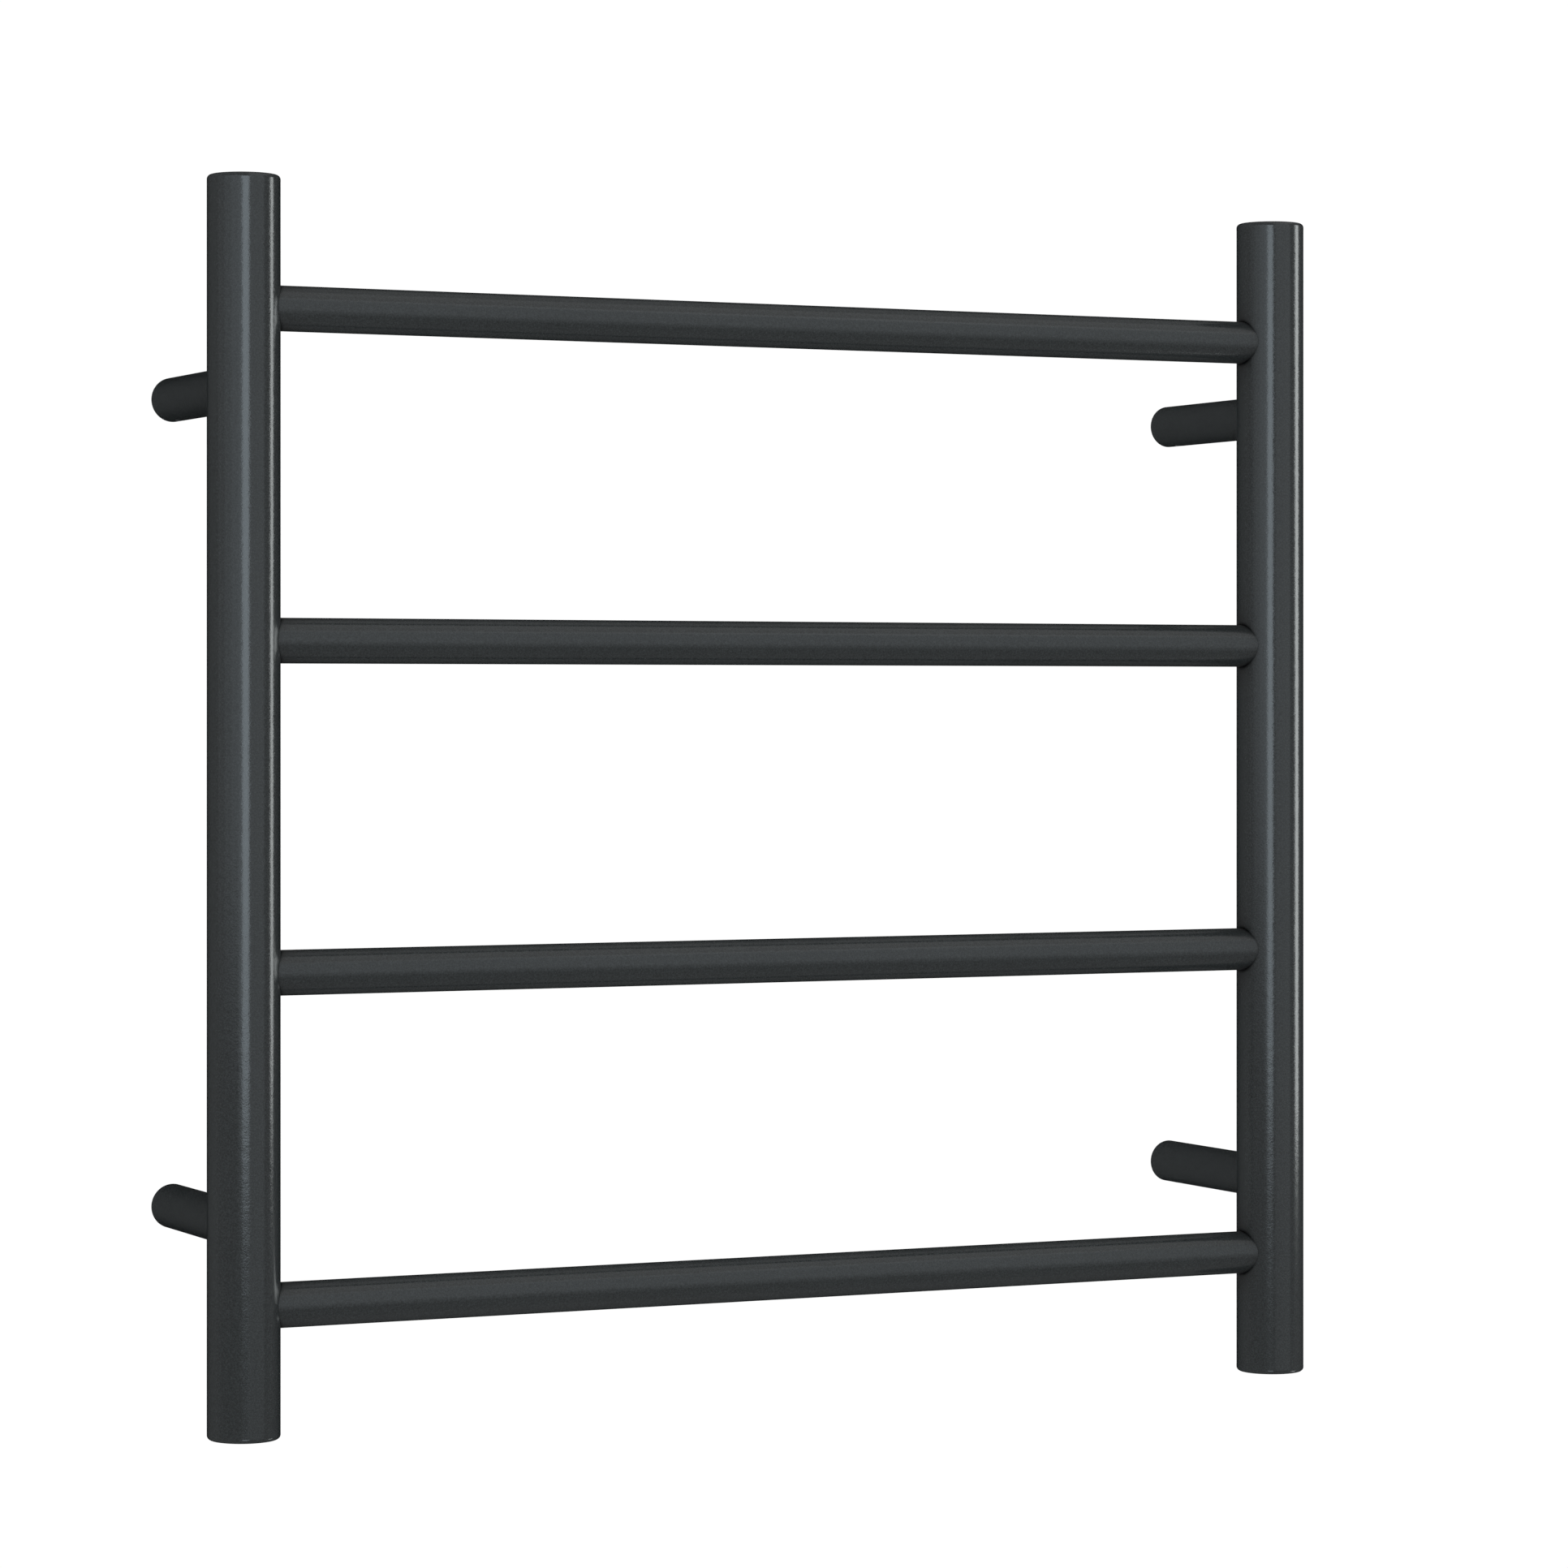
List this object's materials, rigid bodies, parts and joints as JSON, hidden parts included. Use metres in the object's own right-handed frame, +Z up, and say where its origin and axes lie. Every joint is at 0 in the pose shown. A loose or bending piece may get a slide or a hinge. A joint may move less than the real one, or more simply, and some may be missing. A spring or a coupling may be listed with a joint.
{
  "type": "towel warmer rack",
  "caption": "Wall-hung electric towel warmer rack of round tube, with straight crossbars between two uprights on hollow standoffs that slide over wall spigots.",
  "frame": {"origin": "centre of the four wall-fixing holes, on the wall plane behind the rack", "axes": "+Z up, +X to the right as seen from the room, +Y into the wall; the crossbars run along X and the uprights along Z"},
  "size_m": [0.55, 0.114, 0.55],
  "materials": {
    "frame_black": "satin charcoal-black powder coat with a fine grain",
    "spigot_metal": "turned aluminium",
    "plated_steel": "zinc-plated steel",
    "cable_silicone": "smooth silicone insulation",
    "black_rubber": "matt black rubber and shrink sleeve",
    "cutout_case": "resin-sealed case",
    "live_brown": "brown wire insulation",
    "neutral_blue": "blue wire insulation",
    "earth_green": "green and yellow wire insulation",
    "terminal_brass": "plain brass",
    "nylon_white": "natural nylon"
  },
  "bodies": {
    "wall_spigots": {"wall_spigot_top_left": "spigot_metal", "wall_spigot_top_right": "spigot_metal", "wall_spigot_bottom_left": "spigot_metal", "wall_spigot_bottom_right": "spigot_metal", "cable_bush": "black_rubber"},
    "rack": {"left_upright": "frame_black", "right_upright": "frame_black", "crossbar_1": "frame_black", "crossbar_2": "frame_black", "crossbar_3": "frame_black", "crossbar_4": "frame_black", "standoff_top_left": "frame_black", "standoff_top_right": "frame_black", "standoff_bottom_left": "frame_black", "standoff_bottom_right": "frame_black", "cap_top_left": "frame_black", "cap_top_right": "frame_black", "cap_bottom_left": "frame_black", "cap_bottom_right": "frame_black", "heating_cable": "cable_silicone", "end_seal": "black_rubber", "splice_sleeve": "black_rubber", "cold_lead": "black_rubber", "core_breakout": "black_rubber", "thermal_cutout": "cutout_case", "live_lead": "live_brown", "neutral_lead": "neutral_blue", "earth_lead": "earth_green", "earth_terminal": "terminal_brass", "earth_stud": "plated_steel", "earth_nut": "plated_steel", "terminal_block": "nylon_white", "terminal_barrels": "terminal_brass", "terminal_screws": "plated_steel", "terminal_liner": "nylon_white"},
    "grub_top_left": {"grub_screw_top_left": "plated_steel"},
    "grub_top_right": {"grub_screw_top_right": "plated_steel"},
    "grub_bottom_left": {"grub_screw_bottom_left": "plated_steel"},
    "grub_bottom_right": {"grub_screw_bottom_right": "plated_steel"}
  },
  "joints": [
    {"name": "rack_slide", "type": "slide", "parent": "wall_spigots", "child": "rack", "axis": [0, -1, 0], "range_m": [0, 0.03]},
    {"name": "grub_top_left_travel", "type": "slide", "parent": "rack", "child": "grub_top_left", "axis": [0, 0, -1], "range_m": [0, 0.0025]},
    {"name": "grub_top_right_travel", "type": "slide", "parent": "rack", "child": "grub_top_right", "axis": [0, 0, -1], "range_m": [0, 0.0025]},
    {"name": "grub_bottom_left_travel", "type": "slide", "parent": "rack", "child": "grub_bottom_left", "axis": [0, 0, -1], "range_m": [0, 0.0025]},
    {"name": "grub_bottom_right_travel", "type": "slide", "parent": "rack", "child": "grub_bottom_right", "axis": [0, 0, -1], "range_m": [0, 0.0025]}
  ]
}
